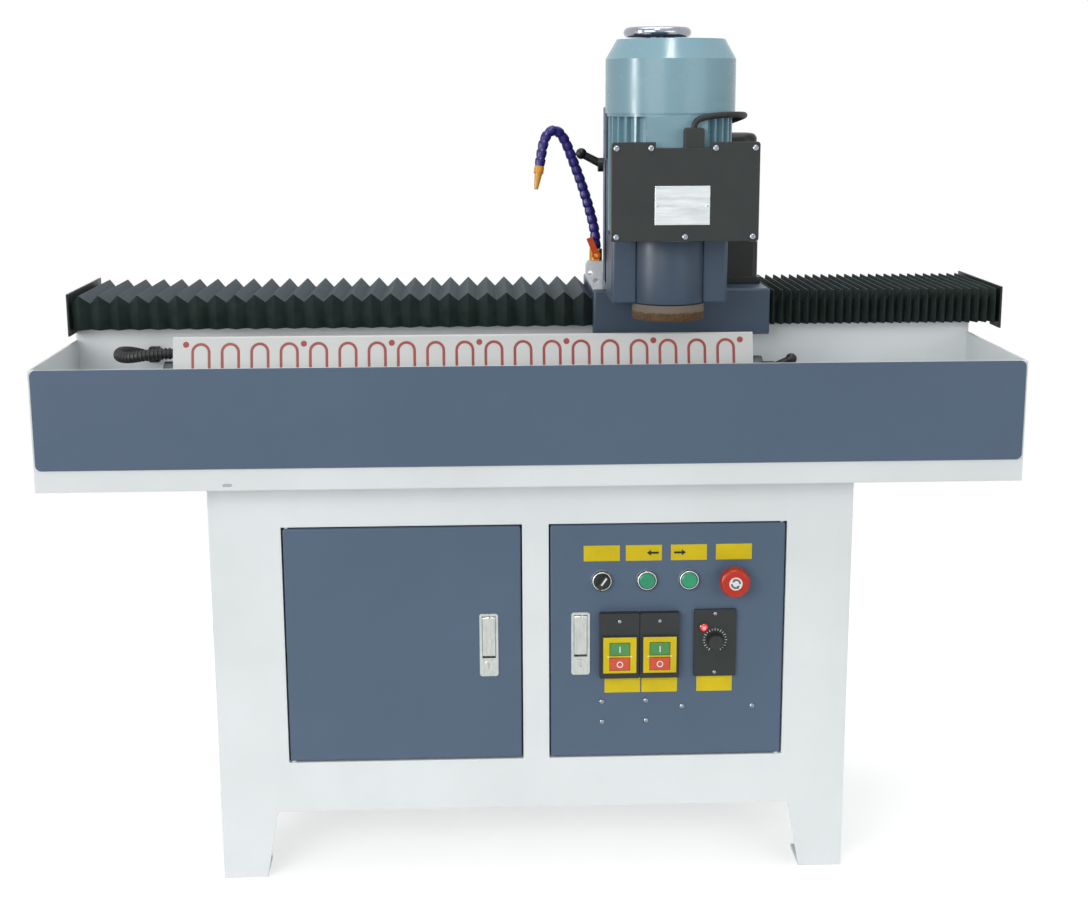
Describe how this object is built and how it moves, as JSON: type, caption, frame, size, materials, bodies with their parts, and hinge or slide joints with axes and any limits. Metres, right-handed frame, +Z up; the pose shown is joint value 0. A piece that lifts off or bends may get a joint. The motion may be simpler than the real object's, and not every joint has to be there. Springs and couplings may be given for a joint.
{
  "type": "knife grinding machine",
  "caption": "Floor-standing straight-knife grinder: cabinet, coolant tray, bellows-covered traverse, vertical grinding head and tilting magnetic chuck.",
  "frame": {"origin": "on the floor, under the middle of the overall box", "axes": "+X to the operator's right along the traverse, +Y away from the operator, +Z up"},
  "size_m": [1.36, 0.5, 1.194],
  "materials": {
    "white_paint": "white gloss powder coat",
    "grey_paint": "blue-grey textured paint",
    "ground_steel": "ground steel",
    "zinc_steel": "zinc-plated sheet",
    "bellows_cloth": "coated cloth, matte",
    "chuck_steel": "ground pale steel",
    "pole_resin": "red cast resin, ground flush",
    "black_rubber": "black flexible sheath",
    "black_plastic": "black moulded plastic",
    "dark_paint": "black satin paint",
    "bronze": "turned bronze",
    "motor_paint": "teal-grey gloss enamel",
    "abrasive": "brown bonded abrasive, rough",
    "bright_chrome": "bright plated",
    "valve_brass": "yellow-painted brass",
    "handle_orange": "orange paint",
    "hose_navy": "navy acetal sockets",
    "nozzle_orange": "orange acetal",
    "green_plastic": "green moulded plastic",
    "red_plastic": "red moulded plastic"
  },
  "bodies": {
    "base": {"front_sheet": "white_paint", "rear_sheet": "white_paint", "side_sheets": "white_paint", "level_sheets": "white_paint", "tray": "white_paint", "front_panel": "grey_paint", "bed": "white_paint", "rails_and_rack": "ground_steel", "bellows_left": "bellows_cloth", "bellows_right": "bellows_cloth", "bellows_plates": "grey_paint", "chuck_brackets": "ground_steel", "chuck_conduit": "black_rubber", "cable_glands": "black_plastic", "coolant_tank": "zinc_steel", "coolant_pump": "dark_paint", "control_plate": "zinc_steel"},
    "carriage": {"saddle": "grey_paint", "rail_blocks": "ground_steel", "column": "grey_paint", "gearmotor": "dark_paint", "coolant_bracket": "zinc_steel", "coolant_cock": "valve_brass"},
    "pinion": {"pinion": "ground_steel"},
    "feed": {"handwheel": "bright_chrome", "feed_screw": "ground_steel"},
    "head": {"feed_nut": "bronze", "head_casting": "grey_paint", "spindle_bearings": "ground_steel", "motor_frame": "motor_paint", "fan_cowl": "motor_paint", "terminal_box": "black_plastic", "terminal_cover": "black_plastic", "motor_cable": "black_rubber"},
    "spindle": {"spindle_shaft": "ground_steel", "fan": "black_plastic", "grinding_wheel": "abrasive"},
    "column_clamp": {"clamp_lever": "dark_paint"},
    "cock": {"cock_handle": "handle_orange"},
    "hose": {"coolant_hose": "hose_navy", "hose_nozzle": "nozzle_orange"},
    "chuck": {"chuck_body": "chuck_steel", "chuck_poles": "pole_resin"},
    "chuck_clamp": {"tilt_clamp": "dark_paint"},
    "door_left": {"left_door": "grey_paint", "left_latch": "bright_chrome"},
    "door_left_lever": {"left_latch_lever": "bright_chrome"},
    "door_right": {"right_door": "grey_paint", "right_latch": "bright_chrome", "control_housings": "black_plastic"},
    "door_right_lever": {"right_latch_lever": "bright_chrome"},
    "selector": {"selector": "black_plastic"},
    "forward": {"forward_button": "green_plastic"},
    "reverse": {"reverse_button": "green_plastic"},
    "estop": {"estop": "red_plastic"},
    "wheel_start": {"wheel_start_button": "green_plastic"},
    "wheel_stop": {"wheel_stop_button": "red_plastic"},
    "pump_start": {"pump_start_button": "green_plastic"},
    "pump_stop": {"pump_stop_button": "red_plastic"},
    "speed": {"speed_knob": "black_plastic"}
  },
  "joints": [
    {"name": "carriage_traverse", "type": "slide", "parent": "base", "child": "carriage", "axis": [1, 0, 0], "range_m": [-0.62, 0.115], "deforming": ["bellows_left", "bellows_right"]},
    {"name": "pinion_turn", "type": "hinge", "parent": "carriage", "child": "pinion", "pos_m": [0.288, 0.108, 0.795], "axis": [0, 0, 1], "range_deg": [-1600, 310]},
    {"name": "head_feed", "type": "slide", "parent": "carriage", "child": "head", "axis": [0, 0, 1], "range_m": [-0.01, 0.05]},
    {"name": "handwheel_turn", "type": "hinge", "parent": "carriage", "child": "feed", "pos_m": [0.175, 0.054, 1.1865], "axis": [0, 0, 1], "range_deg": [-4550, 950]},
    {"name": "wheel_spin", "type": "hinge", "parent": "head", "child": "spindle", "pos_m": [0.175, -0.12, 0.9], "axis": [0, 0, 1], "continuous": true},
    {"name": "clamp_lever_turn", "type": "hinge", "parent": "carriage", "child": "column_clamp", "pos_m": [0.098, 0.022, 1], "axis": [1, 0, 0], "range_deg": [-60, 60]},
    {"name": "cock_turn", "type": "hinge", "parent": "carriage", "child": "cock", "pos_m": [0.082, -0.021, 0.8735], "axis": [0, -1, 0], "range_deg": [0, 90]},
    {"name": "hose_swivel", "type": "hinge", "parent": "carriage", "child": "hose", "pos_m": [0.082, -0.009, 0.882], "axis": [0, 0, 1], "range_deg": [-10, 45]},
    {"name": "chuck_tilt", "type": "hinge", "parent": "base", "child": "chuck", "pos_m": [-0.108, -0.124, 0.722], "axis": [1, 0, 0], "range_deg": [-75, 15], "deforming": ["chuck_conduit"]},
    {"name": "tilt_clamp_turn", "type": "hinge", "parent": "chuck", "child": "chuck_clamp", "pos_m": [0.315, -0.124, 0.722], "axis": [1, 0, 0], "range_deg": [-60, 60]},
    {"name": "left_door_swing", "type": "hinge", "parent": "base", "child": "door_left", "pos_m": [-0.3575, -0.185, 0.3465], "axis": [0, 0, -1], "range_deg": [0, 100]},
    {"name": "right_door_swing", "type": "hinge", "parent": "base", "child": "door_right", "pos_m": [0.3305, -0.185, 0.3465], "axis": [0, 0, 1], "range_deg": [0, 100]},
    {"name": "left_latch_pull", "type": "hinge", "parent": "door_left", "child": "door_left_lever", "pos_m": [-0.0795, -0.1885, 0.383], "axis": [-1, 0, 0], "range_deg": [0, 35], "stiffness_Nm_per_rad": 0.2, "springref_deg": -17.19},
    {"name": "right_latch_pull", "type": "hinge", "parent": "door_right", "child": "door_right_lever", "pos_m": [0.0492, -0.1885, 0.383], "axis": [-1, 0, 0], "range_deg": [0, 35], "stiffness_Nm_per_rad": 0.2, "springref_deg": -17.19},
    {"name": "selector_turn", "type": "hinge", "parent": "door_right", "child": "selector", "pos_m": [0.079, -0.195, 0.4365], "axis": [0, 1, 0], "range_deg": [-45, 45]},
    {"name": "forward_push", "type": "slide", "parent": "door_right", "child": "forward", "axis": [0, 1, 0], "range_m": [0, 0.004], "stiffness_N_per_m": 400},
    {"name": "reverse_push", "type": "slide", "parent": "door_right", "child": "reverse", "axis": [0, 1, 0], "range_m": [0, 0.004], "stiffness_N_per_m": 400},
    {"name": "estop_push", "type": "slide", "parent": "door_right", "child": "estop", "axis": [0, 1, 0], "range_m": [0, 0.004]},
    {"name": "wheel_start_push", "type": "slide", "parent": "door_right", "child": "wheel_start", "axis": [0, 1, 0], "range_m": [0, 0.004], "stiffness_N_per_m": 400},
    {"name": "wheel_stop_push", "type": "slide", "parent": "door_right", "child": "wheel_stop", "axis": [0, 1, 0], "range_m": [0, 0.004], "stiffness_N_per_m": 400},
    {"name": "pump_start_push", "type": "slide", "parent": "door_right", "child": "pump_start", "axis": [0, 1, 0], "range_m": [0, 0.004], "stiffness_N_per_m": 400},
    {"name": "pump_stop_push", "type": "slide", "parent": "door_right", "child": "pump_stop", "axis": [0, 1, 0], "range_m": [0, 0.004], "stiffness_N_per_m": 400},
    {"name": "speed_turn", "type": "hinge", "parent": "door_right", "child": "speed", "pos_m": [0.2384, -0.195, 0.3485], "axis": [0, 1, 0], "range_deg": [-150, 150]}
  ],
  "couplings": [
    {"joint": "pinion_turn", "follows": "carriage_traverse", "rad_per_m": 44.444},
    {"joint": "handwheel_turn", "follows": "head_feed", "rad_per_m": -1570.8}
  ]
}
